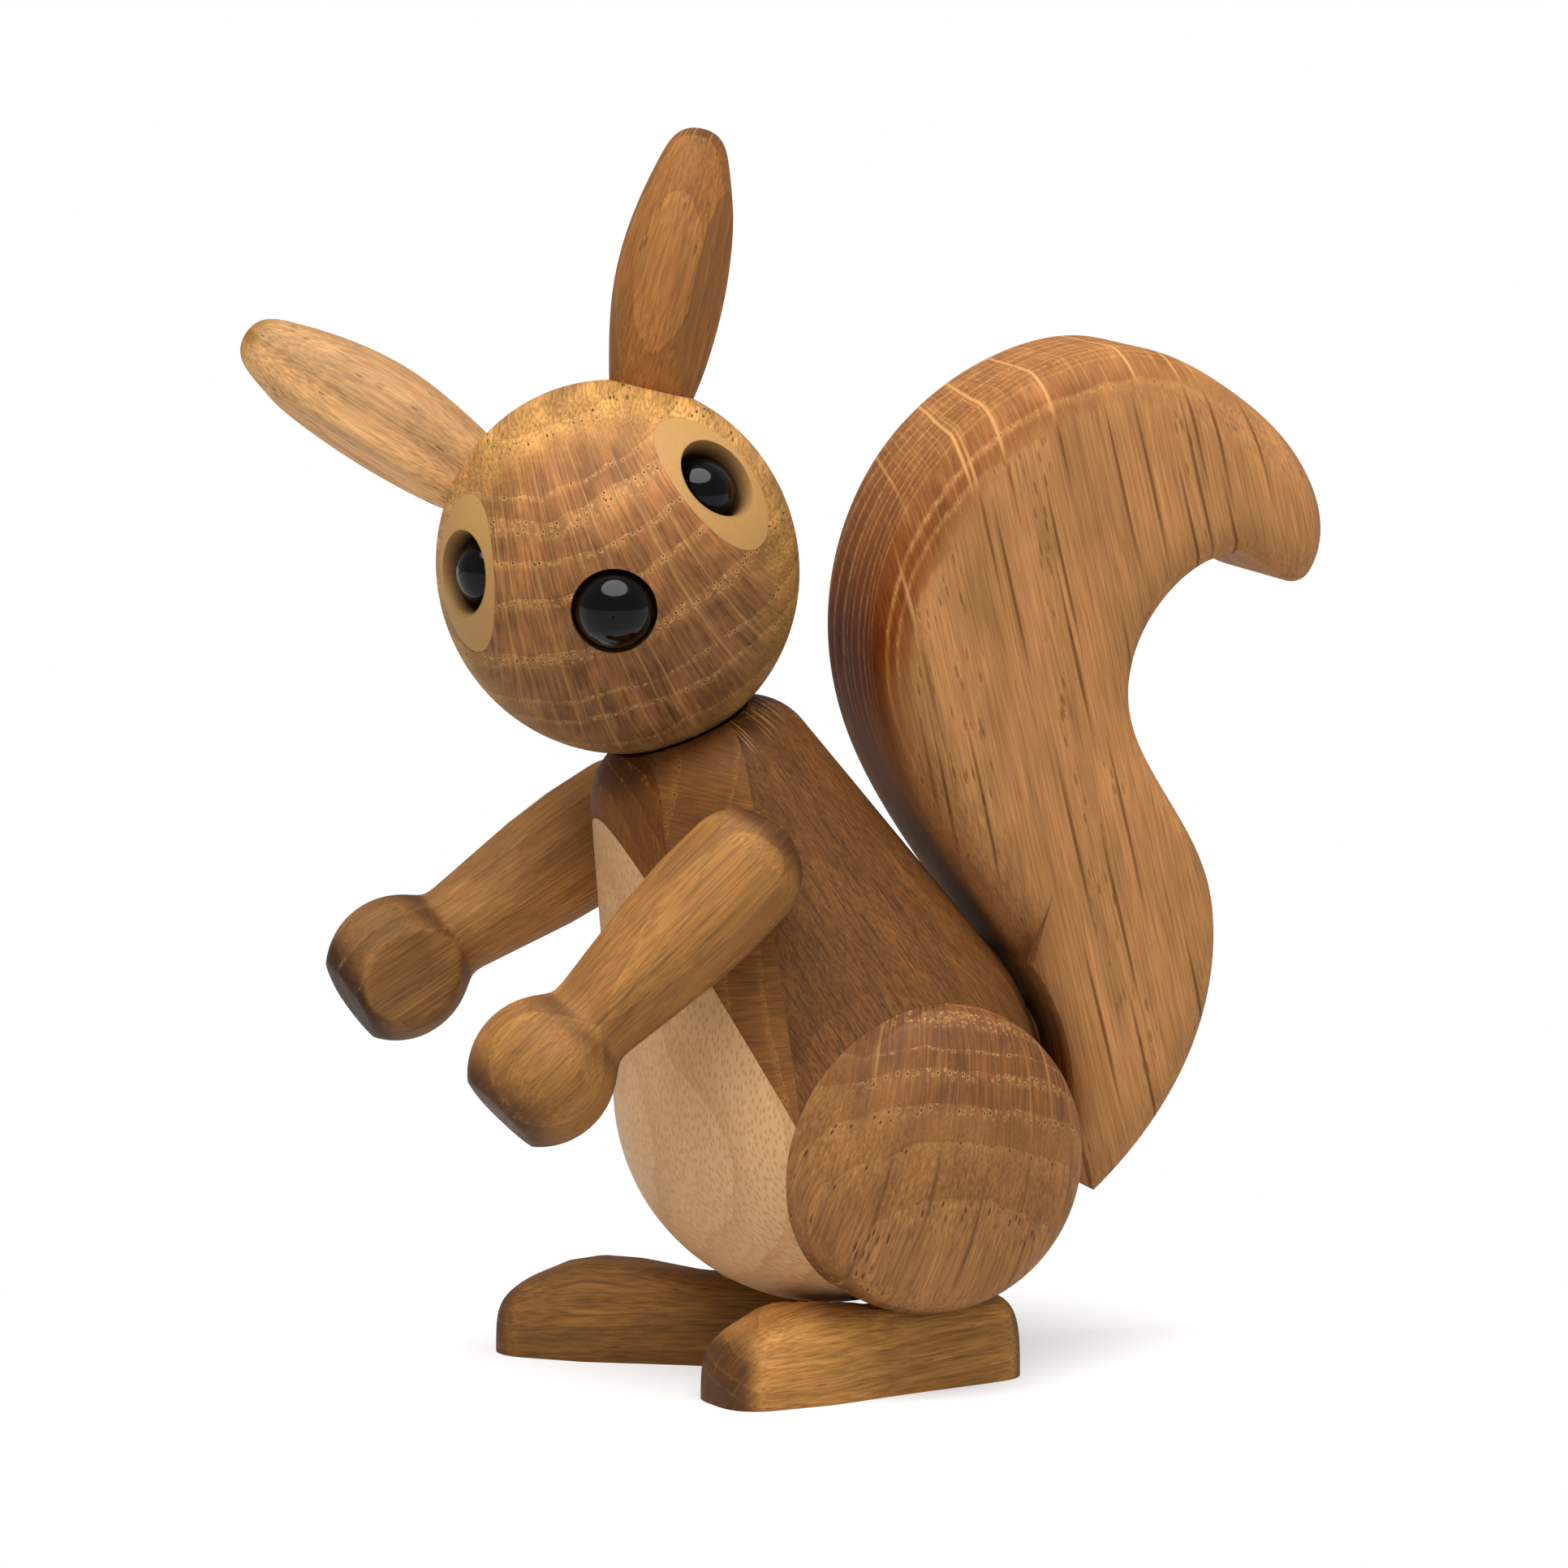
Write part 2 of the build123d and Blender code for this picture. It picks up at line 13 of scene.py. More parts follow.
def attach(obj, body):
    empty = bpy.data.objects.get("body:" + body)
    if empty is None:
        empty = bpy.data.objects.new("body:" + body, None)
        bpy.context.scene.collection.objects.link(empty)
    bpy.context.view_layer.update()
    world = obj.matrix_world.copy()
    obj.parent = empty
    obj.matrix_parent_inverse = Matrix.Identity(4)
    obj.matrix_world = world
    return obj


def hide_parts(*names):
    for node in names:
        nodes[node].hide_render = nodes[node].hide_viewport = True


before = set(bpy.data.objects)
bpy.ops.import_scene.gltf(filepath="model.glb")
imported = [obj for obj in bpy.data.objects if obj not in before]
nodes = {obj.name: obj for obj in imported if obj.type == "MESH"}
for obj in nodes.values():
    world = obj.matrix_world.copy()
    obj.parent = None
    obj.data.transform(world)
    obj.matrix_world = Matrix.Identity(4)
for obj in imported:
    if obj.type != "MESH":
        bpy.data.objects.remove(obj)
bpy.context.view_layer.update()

# Rear block of the body: half of the turned pear, flat-sawn oak with the grain running down the back.
# Rubbed with dark oil after turning, so it has a low sheen over open pores.
# It is glued to the middle board along one straight seam.


def linear(hex_colour):
    """Turns an sRGB hex colour into linear RGBA by the sRGB curve."""
    values = np.array([int(hex_colour[i : i + 2], 16) for i in (1, 3, 5)]) / 255
    curve = np.where(values <= 0.04045, values / 12.92, ((values + 0.055) / 1.055) ** 2.4)
    return (*curve.tolist(), 1.0)


def add_node(tree, kind, inputs, **settings):
    """Adds a shader node, sets its properties, and links or sets its inputs."""
    node = tree.nodes.new("ShaderNode" + kind)
    for name, value in settings.items():
        setattr(node, name, value)
    for socket, value in inputs.items():
        if isinstance(value, bpy.types.NodeSocket):
            tree.links.new(value, node.inputs[socket])
        else:
            node.inputs[socket].default_value = value
    return node


def blank_material(name):
    """A new material and its empty node tree."""
    material = bpy.data.materials.new(name)
    material.use_nodes = True
    material.node_tree.nodes.clear()
    return material, material.node_tree


def board_place(tree, grain, radial, pith):
    """A point in the board's own mm: out from the pith, along the ring, along the grain.

    The rows of the turn are those three directions at right angles, and the pith moves to the origin.
    """
    along = Vector(grain).normalized()
    out = Vector(radial)
    out = (out - along * out.dot(along)).normalized()
    turn = Matrix((out, along.cross(out), along))
    place = add_node(tree, "TexCoord", {})
    board = add_node(
        tree,
        "Mapping",
        {
            "Vector": place.outputs["Object"],
            "Location": -(turn @ Vector(pith)),
            "Rotation": turn.to_euler("XYZ"),
            "Scale": (1000, 1000, 1000),
        },
    ).outputs[0]
    return place, board


def oak(
    name,
    grain,
    radial,
    pith,
    pith_distance,
    ring,
    light,
    dark,
    end_light,
    end_dark,
    ray_side="#6e4523",
    ray_end="#d2a05c",
    pore_end="#c9964f",
    ring_share=0.5,
    ray_gap=1.3,
    ray_length=60.0,
    ray_share=0.7,
    fleck_gap=0.5,
    fleck_length=9.0,
    fleck_share=0.25,
    pore_share=0.6,
    early_share=0.4,
    rim_share=0.35,
    mottle=0.12,
    fibre_depth=0.3,
    sheen=0.2,
    wander=2.2,
    end_from=0.3,
    end_to=0.75,
    crown=None,
    crown_radius=0.0,
    edge_dark_and_painted_shade=None,
    pith_tone_and_painted_shade=None,
    tip=None,
    knot=None,
):
    """Oiled oak as a solid: rings round a pith line, pores along the grain, rays out from the pith.

    Ring phase is the distance from the pith over the ring width, wandering by a slow noise.
    Pores and rays are cells stretched along the grain: dots on end grain and dashes on long grain.
    Lengths are in mm, and a share is how strongly a mark tints the wood. The two tone bands are (from, to,
    tone) and darken the wood by its distance from the pith, or along the grain: partly its own tone, partly
    painted shade.
    """
    material, tree = blank_material(name)
    place, board = board_place(tree, grain, radial, pith)

    # A board with a crown is sanded over by hand, so its edges turn softly
    normal = place.outputs["Normal"]
    if crown:
        sanded = add_node(tree, "Bevel", {"Radius": crown_radius / 1000}, samples=8).outputs[0]
        normal = add_node(
            tree,
            "VectorTransform",
            {"Vector": sanded},
            vector_type="NORMAL",
            convert_from="WORLD",
            convert_to="OBJECT",
        ).outputs[0]

    # Slow wander of the rings, ragged edges, and long streaks of tone, by size across and along the grain
    noises = []
    for across, along in ((16, 60), (4, 14), (3.2, 70)):
        cells = add_node(
            tree, "VectorMath", {0: board, 1: (1 / across, 1 / across, 1 / along)}, operation="MULTIPLY"
        ).outputs[0]
        noises.append(add_node(tree, "TexNoise", {"Vector": cells, "Scale": 1.0, "Detail": 3.0}).outputs[0])
    sway, blotch, streak = noises

    # Rings, with ragged edges and years of uneven width. Over a crown they bend a little with the surface
    ragged_by = 0.6
    uneven_by = 2.4
    bend_share = 0.3
    flat = add_node(tree, "VectorMath", {0: board, 1: (1, 1, 0)}, operation="MULTIPLY").outputs[0]
    radius = add_node(tree, "VectorMath", {0: flat}, operation="LENGTH").outputs["Value"]
    if crown:
        level = add_node(
            tree, "VectorMath", {0: normal, 1: Vector(radial)}, operation="DOT_PRODUCT"
        ).outputs["Value"]
        level = add_node(tree, "Math", {0: level}, operation="ABSOLUTE").outputs[0]
        radius = add_node(
            tree, "Math", {0: level, 1: bend_share * crown_radius, 2: radius}, operation="MULTIPLY_ADD"
        ).outputs[0]
    swayed = add_node(tree, "Math", {0: sway, 1: wander, 2: radius}, operation="MULTIPLY_ADD").outputs[0]
    ragged = add_node(tree, "Math", {0: blotch, 1: ragged_by, 2: swayed}, operation="MULTIPLY_ADD").outputs[0]
    age = add_node(tree, "Math", {0: ragged, 1: ring}, operation="DIVIDE").outputs[0]
    uneven = add_node(tree, "TexNoise", {"W": age, "Scale": 0.4}, noise_dimensions="1D").outputs[0]
    years = add_node(tree, "Math", {0: uneven, 1: uneven_by, 2: age}, operation="MULTIPLY_ADD").outputs[0]
    year = add_node(tree, "Math", {0: years}, operation="FRACT").outputs[0]

    # Parts of a year from its start: pale early wood, wood that darkens to the end, and the zone of pores
    bands = []
    for start, stop, first, last, easing in (
        (0.08, 0.4, early_share, 0.0, "SMOOTHSTEP"),
        (0.1, 1.0, 0.0, ring_share, "LINEAR"),
        (0.14, 0.3, 1.0, 0.05, "SMOOTHSTEP"),
    ):
        band = add_node(
            tree,
            "MapRange",
            {"Value": year, "From Min": start, "From Max": stop, "To Min": first, "To Max": last},
            interpolation_type=easing,
        )
        bands.append(band.outputs[0])
    early, late, porous = bands

    # Places on the cylinder round the pith: along the ring, along the grain, out from the pith
    parts = add_node(tree, "SeparateXYZ", {"Vector": board})
    angle = add_node(
        tree, "Math", {0: parts.outputs["Y"], 1: parts.outputs["X"]}, operation="ARCTAN2"
    ).outputs[0]
    arc = add_node(tree, "Math", {0: angle, 1: pith_distance, 2: sway}, operation="MULTIPLY_ADD").outputs[0]
    shell = add_node(tree, "CombineXYZ", {"X": arc, "Y": parts.outputs["Z"], "Z": radius}).outputs[0]

    # End grain is where the surface faces along the grain, or towards a board's crown
    facing = add_node(
        tree, "VectorMath", {0: normal, 1: crown or Vector(grain).normalized()}, operation="DOT_PRODUCT"
    ).outputs["Value"]
    end_base = linear(end_dark)
    # Over a crown, end grain that faces down or sideways takes the edge colour: oil-dark end grain with
    # painted shade
    if crown:
        upright = add_node(tree, "SeparateXYZ", {"Vector": normal}).outputs["Z"]
        upright = add_node(
            tree, "MapRange", {"Value": upright, "From Min": 0.0, "From Max": 0.7}
        ).outputs[0]
        end_base = add_node(
            tree, "Mix", {"Factor": upright, "A": linear(edge_dark_and_painted_shade), "B": end_base}, data_type="RGBA"
        ).outputs["Result"]
    else:
        facing = add_node(tree, "Math", {0: facing}, operation="ABSOLUTE").outputs[0]
    end = add_node(
        tree,
        "MapRange",
        {"Value": facing, "From Min": end_from, "From Max": end_to},
        interpolation_type="SMOOTHSTEP",
    ).outputs[0]

    # Fibres: threads along the grain on the sides, ray lines out from the pith on the ends.
    # Real fibres are far finer, and are drawn about 0.3 mm wide so that they show
    strands = []
    for source, size in ((board, (0.28, 0.28, 10)), (shell, (0.24, 12, 3.4))):
        cells = add_node(
            tree, "VectorMath", {0: source, 1: [1 / length for length in size]}, operation="MULTIPLY"
        ).outputs[0]
        strands.append(add_node(tree, "TexNoise", {"Vector": cells, "Scale": 1.0, "Detail": 3.0}).outputs[0])
    thread, spoke = strands
    fibre = add_node(tree, "Mix", {"Factor": end, "A": thread, "B": spoke}).outputs["Result"]

    # Pores, dense in the early wood: dark dashes on the sides, pale rims with dark holes on the ends.
    # They lie 0.62 mm apart and 3.6 mm long, about twice their real size, so that they show
    pore_gap = 0.62
    pore_length = 3.6
    pore_cells = add_node(
        tree,
        "VectorMath",
        {0: board, 1: (1 / pore_gap, 1 / pore_gap, 1 / pore_length)},
        operation="MULTIPLY",
    ).outputs[0]
    pore_far = add_node(tree, "TexVoronoi", {"Vector": pore_cells, "Scale": 1.0}).outputs["Distance"]
    pore_marks = []
    for inner, outer, share in ((0.14, 0.3, pore_share), (0.3, 0.5, rim_share)):
        mark = add_node(
            tree,
            "MapRange",
            {"Value": pore_far, "From Min": inner, "From Max": outer, "To Min": share, "To Max": 0.0},
            interpolation_type="SMOOTHSTEP",
        ).outputs[0]
        pore_marks.append(add_node(tree, "Math", {0: mark, 1: porous}, operation="MULTIPLY").outputs[0])
    pore, rim = pore_marks
    rim = add_node(tree, "Math", {0: rim, 1: end}, operation="MULTIPLY").outputs[0]

    # Rays: long dashes and short flecks, which fade where a face lies along them
    along_ring = Vector(grain).cross(Vector(radial)).normalized()
    flat_on = add_node(
        tree, "VectorMath", {0: normal, 1: along_ring}, operation="DOT_PRODUCT"
    ).outputs["Value"]
    flat_on = add_node(tree, "Math", {0: flat_on}, operation="ABSOLUTE").outputs[0]
    cut_across = add_node(
        tree,
        "MapRange",
        {"Value": flat_on, "From Min": 0.6, "From Max": 0.95, "To Min": 1.0, "To Max": 0.0},
        interpolation_type="SMOOTHSTEP",
    ).outputs[0]
    marks = []
    for gap, length, edge in ((ray_gap, ray_length, 0.14), (fleck_gap, fleck_length, 0.22)):
        cells = add_node(
            tree, "VectorMath", {0: shell, 1: (1 / gap, 1 / length, 0)}, operation="MULTIPLY"
        ).outputs[0]
        far = add_node(
            tree, "TexVoronoi", {"Vector": cells, "Scale": 1.0}, voronoi_dimensions="2D"
        ).outputs[0]
        mark = add_node(
            tree,
            "MapRange",
            {"Value": far, "From Min": edge * 0.4, "From Max": edge * 1.3, "To Min": 1.0, "To Max": 0.0},
            interpolation_type="SMOOTHSTEP",
        ).outputs[0]
        marks.append(add_node(tree, "Math", {0: mark, 1: cut_across}, operation="MULTIPLY").outputs[0])
    ray, fleck = marks

    # Colour: sides and ends, each shaded by fibre, blotch and streak, and by the two tone bands where given,
    # which are partly painted shade
    side_colour = add_node(
        tree, "Mix", {"Factor": late, "A": linear(light), "B": linear(dark)}, data_type="RGBA"
    ).outputs["Result"]
    end_colour = add_node(
        tree, "Mix", {"Factor": early, "A": end_base, "B": linear(end_light)}, data_type="RGBA"
    ).outputs["Result"]
    colour = add_node(
        tree, "Mix", {"Factor": end, "A": side_colour, "B": end_colour}, data_type="RGBA"
    ).outputs["Result"]
    noise_low = 0.3
    noise_high = 0.7
    shades = [
        (fibre, noise_low, noise_high, 1 - fibre_depth, 1 + 0.8 * fibre_depth),
        (blotch, noise_low, noise_high, 1 - mottle, 1 + mottle),
        (streak, noise_low, noise_high, 0.84, 1.14),
    ]
    # Tone bands from the pith and along the grain: partly the wood's own tone, partly painted shade
    for measure, span in ((radius, pith_tone_and_painted_shade), (parts.outputs["Z"], tip)):
        if span:
            start, stop, tone = span
            shades.append((measure, start, stop, 1.0, tone))
    for measure, start, stop, first, last in shades:
        tone = add_node(
            tree,
            "MapRange",
            {"Value": measure, "From Min": start, "From Max": stop, "To Min": first, "To Max": last},
        ).outputs[0]
        colour = add_node(tree, "VectorMath", {0: colour, "Scale": tone}, operation="SCALE").outputs[0]

    # Marks over that: rays and flecks, pale on the ends, then rims and holes of pores
    ray_colour = add_node(
        tree, "Mix", {"Factor": end, "A": linear(ray_side), "B": linear(ray_end)}, data_type="RGBA"
    ).outputs["Result"]
    tints = []
    for mark, share in ((ray, ray_share), (fleck, fleck_share)):
        factor = add_node(tree, "Math", {0: mark, 1: share}, operation="MULTIPLY").outputs[0]
        tints.append((factor, ray_colour))
    tints.append((rim, linear(pore_end)))
    tints.append((pore, linear("#4a2c13")))
    if knot:
        # A pin knot is dark to 0.5 mm from its middle and gone by 1.3 mm
        from_knot = add_node(
            tree,
            "VectorMath",
            {0: place.outputs["Object"], 1: [value / 1000 for value in knot]},
            operation="DISTANCE",
        ).outputs["Value"]
        core = add_node(
            tree,
            "MapRange",
            {"Value": from_knot, "From Min": 0.0005, "From Max": 0.0013, "To Min": 0.85, "To Max": 0.0},
            interpolation_type="SMOOTHSTEP",
        ).outputs[0]
        tints.append((core, linear("#5a2f14")))
    for factor, tint in tints:
        colour = add_node(
            tree, "Mix", {"Factor": factor, "A": colour, "B": tint}, data_type="RGBA"
        ).outputs["Result"]

    # Surface: open pores and rays are shallow, the oil leaves a low sheen
    pore_dip = -1.6
    ray_dip = -0.4
    dips = add_node(tree, "Math", {0: pore, 1: pore_dip, 2: fibre}, operation="MULTIPLY_ADD").outputs[0]
    height = add_node(tree, "Math", {0: ray, 1: ray_dip, 2: dips}, operation="MULTIPLY_ADD").outputs[0]
    bump_inputs = {"Height": height, "Strength": 0.4, "Distance": 0.0002}
    if crown:
        bump_inputs["Normal"] = sanded
    bump = add_node(tree, "Bump", bump_inputs).outputs[0]
    rough = add_node(
        tree,
        "MapRange",
        {"Value": fibre, "From Min": noise_low, "From Max": noise_high, "To Min": 0.56, "To Max": 0.7},
    ).outputs[0]
    shader = add_node(
        tree,
        "BsdfPrincipled",
        {"Base Color": colour, "Roughness": rough, "Normal": bump, "Specular IOR Level": sheen},
    )
    add_node(tree, "OutputMaterial", {"Surface": shader.outputs[0]})
    return material


def dress(node_name, material):
    """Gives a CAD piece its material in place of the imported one."""
    mesh = nodes[node_name].data
    mesh.materials.clear()
    mesh.materials.append(material)


dress(
    "torso_rear_block",
    oak(
        "oiled_oak_turned_rear_block",
        grain=(0.0, 0.5, -0.866),
        radial=(1.0, 0.0, 0.0),
        pith=(-90.0, 0.0, 40.0),
        pith_distance=90.0,
        ring=5.0,
        light="#6f4620",
        dark="#543111",
        end_light="#6d431b",
        end_dark="#552f11",
        ray_side="#3d210b",
        ray_share=0.12,
        fleck_gap=0.38,
        fleck_length=13.0,
        fleck_share=0.62,
        ring_share=0.3,
        fibre_depth=0.4,
    ),
)

# Middle board of the body: one plank set crosswise, so its sides are end grain that drank more oil.
# It holds the shoulder pins. Its rear seam is lined with open pores.
dress(
    "torso_middle_board",
    oak(
        "oiled_oak_turned_middle_board",
        grain=(1.0, 0.0, 0.0),
        radial=(0.0, -1.0, 0.0),
        pith=(0.0, 60.0, 55.0),
        pith_distance=70.0,
        ring=4.6,
        light="#835427",
        dark="#6a3e19",
        end_light="#936130",
        end_dark="#7e5024",
        ray_end="#6f4826",
        ray_share=0.12,
        fleck_share=0.1,
        pore_share=0.7,
        rim_share=0.25,
    ),
)

# Front board of the body: the oak throat above the belly, glued to the middle board.
# The neck is turned through it, which leaves arched grain.
dress(
    "torso_front_board",
    oak(
        "oiled_oak_turned_front_board",
        grain=(0.0, -0.35, 0.94),
        radial=(0.0, -1.0, 0.0),
        pith=(6.0, 30.0, 60.0),
        pith_distance=45.0,
        ring=2.0,
        light="#804c16",
        dark="#5f340c",
        end_light="#7d4a12",
        end_dark="#62350b",
        ray_share=0.15,
        ray_end="#6a4220",
    ),
)

# Belly: a pale beech block glued on at a slant, turned with the rest of the pear.
# Flat-sawn beech shows short brown ray flecks, staggered, all along the grain.
ring_width = 4.5
ring_sway = 9.0
fleck_gap = 0.32
fleck_length = 1.4
beech, tree = blank_material("beech_turned_belly")
place, board = board_place(
    tree, grain=(0.0, 0.22, -0.975), radial=(0.0, -1.0, 0.0), pith=(0.0, 60.0, 30.0)
)

# Rings 4.5 mm apart that wander widely, so the turned face cuts them in slow flames
slow = add_node(
    tree, "VectorMath", {0: board, 1: (1 / 14, 1 / 14, 1 / 45)}, operation="MULTIPLY"
).outputs[0]
sway = add_node(tree, "TexNoise", {"Vector": slow, "Scale": 1.0, "Detail": 2.0}).outputs[0]
flat = add_node(tree, "VectorMath", {0: board, 1: (1, 1, 0)}, operation="MULTIPLY").outputs[0]
radius = add_node(tree, "VectorMath", {0: flat}, operation="LENGTH").outputs["Value"]
swayed = add_node(tree, "Math", {0: sway, 1: ring_sway, 2: radius}, operation="MULTIPLY_ADD").outputs[0]
age = add_node(tree, "Math", {0: swayed, 1: ring_width}, operation="DIVIDE").outputs[0]
year = add_node(tree, "Math", {0: age}, operation="FRACT").outputs[0]
flame = add_node(
    tree, "MapRange", {"Value": year, "From Min": 0.55, "From Max": 1.0, "To Min": 0.0, "To Max": 0.35}
).outputs[0]

# Ray flecks in staggered cells, and fibres drawn 0.5 mm wide so that they show
parts = add_node(tree, "SeparateXYZ", {"Vector": board})
shell = add_node(tree, "CombineXYZ", {"X": parts.outputs["Y"], "Y": parts.outputs["Z"]}).outputs[0]
cells = add_node(
    tree, "VectorMath", {0: shell, 1: (1 / fleck_gap, 1 / fleck_length, 0)}, operation="MULTIPLY"
).outputs[0]
far = add_node(
    tree, "TexVoronoi", {"Vector": cells, "Scale": 1.0, "Randomness": 0.8}, voronoi_dimensions="2D"
).outputs[0]
fleck = add_node(
    tree,
    "MapRange",
    {"Value": far, "From Min": 0.1, "From Max": 0.36, "To Min": 0.62, "To Max": 0.0},
    interpolation_type="SMOOTHSTEP",
).outputs[0]
threads = add_node(
    tree, "VectorMath", {0: board, 1: (1 / 0.5, 1 / 0.5, 1 / 8)}, operation="MULTIPLY"
).outputs[0]
fibre = add_node(tree, "TexNoise", {"Vector": threads, "Scale": 1.0, "Detail": 3.0}).outputs[0]
tone = add_node(
    tree, "MapRange", {"Value": fibre, "From Min": 0.3, "From Max": 0.7, "To Min": 0.93, "To Max": 1.06}
).outputs[0]
colour = add_node(
    tree, "Mix", {"Factor": flame, "A": linear("#d6a978"), "B": linear("#b67e4c")}, data_type="RGBA"
).outputs["Result"]
colour = add_node(tree, "VectorMath", {0: colour, "Scale": tone}, operation="SCALE").outputs[0]
colour = add_node(
    tree, "Mix", {"Factor": fleck, "A": colour, "B": linear("#b07c50")}, data_type="RGBA"
).outputs["Result"]
bump = add_node(tree, "Bump", {"Height": fibre, "Strength": 0.12, "Distance": 0.0001}).outputs[0]
rough = add_node(
    tree, "MapRange", {"Value": fibre, "From Min": 0.3, "From Max": 0.7, "To Min": 0.46, "To Max": 0.54}
).outputs[0]
shader = add_node(
    tree,
    "BsdfPrincipled",
    {"Base Color": colour, "Roughness": rough, "Normal": bump, "Specular IOR Level": 0.2},
)
add_node(tree, "OutputMaterial", {"Surface": shader.outputs[0]})
dress("belly", beech)

# Haunches: domed oak discs let into round seats in the sides and held by a glued dowel.
# The grain runs upright and the rings cut the upper dome in dotted arcs.
for side, name in ((1, "left"), (-1, "right")):
    dress(
        f"haunch_{name}",
        oak(
            f"oiled_oak_domed_haunch_{name}",
            grain=(side * 0.4, 0.2, 0.9),
            radial=(side * 0.9, 0.0, -0.4),
            pith=(side * -30.0, 9.0, 48.0),
            pith_distance=55.0,
            ring=2.6,
            light="#a2703f",
            dark="#815128",
            end_light="#98673a",
            end_dark="#704423",
            ray_side="#5e3616",
            ray_end="#a97a45",
            ray_share=0.6,
            early_share=0.22,
            pore_share=0.9,
            pore_end="#b98b52",
            ray_gap=1.7,
            rim_share=0.65,
            mottle=0.16,
            fibre_depth=0.36,
        ),
    )

# Dowels and pins: plain turned birch, hidden in the joints and seen only in the gaps.
# Fine straight grain, browned by the oil that runs into the joints. Glued in at one end.
birch = oak(
    "birch_turned_dowel",
    grain=(0.0, 0.0, 1.0),
    radial=(1.0, 0.0, 0.0),
    pith=(-60.0, 0.0, 0.0),
    pith_distance=60.0,
    ring=1.5,
    light="#a97f4e",
    dark="#94693c",
    end_light="#a37a4a",
    end_dark="#8d6439",
    ray_side="#835b31",
    ray_share=0.2,
    pore_share=0.15,
)
for name in nodes:
    if "dowel" in name or "pin" in name:
        dress(name, birch)

# Head: an egg turned with the grain running from the back of the head to the nose.
# The front is end grain: wide rings as dotted bands, and pale rays fanning down from a pith above.
dress(
    "head",
    oak(
        "oiled_oak_turned_head",
        grain=(0.9367, -0.3237, -0.1334),
        radial=(0.238, 0.288, -0.931),
        pith=(-13.0, -39.0, 149.0),
        pith_distance=55.0,
        ring=4.6,
        light="#bd8b4b",
        dark="#946635",
        end_light="#bb864c",
        end_dark="#925f35",
        ray_side="#875a2c",
        ray_end="#b98a52",
        ray_share=0.4,
        fleck_gap=0.8,
        fleck_share=0.18,
        # Darker towards the bottom, away from the pith above: partly the wood's own tone, partly painted
        # shade
        pith_tone_and_painted_shade=(44.0, 72.0, 0.62),
        wander=5.0,
        early_share=0.35,
        pore_share=0.95,
        pore_end="#cf9f62",
        rim_share=0.5,
        mottle=0.3,
        fibre_depth=0.44,
    ),
)

# Eye rings: oval maple plugs let into the head and dished for the bead.
# Maple is pale and even, with a fine speckle, and round the bead the hole's wall is painted dark as shade.
eye_axes = {
    "left": ((0.01606, -0.01575, 0.10978), (0.7529, 0.3373, 0.5651)),
    "right": ((0.00474, -0.04373, 0.09824), (0.2224, -0.9747, 0.0244)),
}
# Noise scales per metre: speckles 0.4 mm apart and clouds 4 mm apart
speckle_scale = 2600.0
cloud_scale = 260.0
# Reach of the painted shade round the bead, in metres from the eye's axis
hole_shade_inner = 0.0042
hole_shade_outer = 0.0054
for name, (eye_place, eye_axis) in eye_axes.items():
    maple, tree = blank_material(f"maple_turned_eye_ring_{name}")
    place = add_node(tree, "TexCoord", {})
    speckle = add_node(
        tree, "TexNoise", {"Vector": place.outputs["Object"], "Scale": speckle_scale, "Detail": 2.0}
    ).outputs[0]
    cloud = add_node(
        tree, "TexNoise", {"Vector": place.outputs["Object"], "Scale": cloud_scale, "Detail": 2.0}
    ).outputs[0]
    colour = add_node(
        tree, "Mix", {"Factor": speckle, "A": linear("#a07541"), "B": linear("#bd9358")}, data_type="RGBA"
    ).outputs["Result"]
    colour = add_node(
        tree, "Mix", {"Factor": cloud, "A": colour, "B": linear("#ae834c")}, data_type="RGBA"
    ).outputs["Result"]
    from_eye = add_node(
        tree, "VectorMath", {0: place.outputs["Object"], 1: eye_place}, operation="SUBTRACT"
    ).outputs[0]
    across = add_node(tree, "VectorMath", {0: from_eye, 1: eye_axis}, operation="CROSS_PRODUCT").outputs[0]
    aside = add_node(tree, "VectorMath", {0: across}, operation="LENGTH").outputs["Value"]
    # Painted shade in the bead's hole, darkest near the eye's axis
    hole_shade = add_node(
        tree,
        "MapRange",
        {"Value": aside, "From Min": hole_shade_inner, "From Max": hole_shade_outer, "To Min": 1.0, "To Max": 0.0},
        interpolation_type="SMOOTHSTEP",
    ).outputs[0]
    colour = add_node(
        tree, "Mix", {"Factor": hole_shade, "A": colour, "B": linear("#3a210e")}, data_type="RGBA"
    ).outputs["Result"]
    bump = add_node(tree, "Bump", {"Height": speckle, "Strength": 0.1, "Distance": 0.0001}).outputs[0]
    rough = add_node(
        tree, "MapRange", {"Value": speckle, "From Min": 0.3, "From Max": 0.7, "To Min": 0.5, "To Max": 0.6}
    ).outputs[0]
    shader = add_node(
        tree,
        "BsdfPrincipled",
        {"Base Color": colour, "Roughness": rough, "Normal": bump, "Specular IOR Level": 0.2},
    )
    add_node(tree, "OutputMaterial", {"Surface": shader.outputs[0]})
    dress(f"eye_ring_{name}", maple)

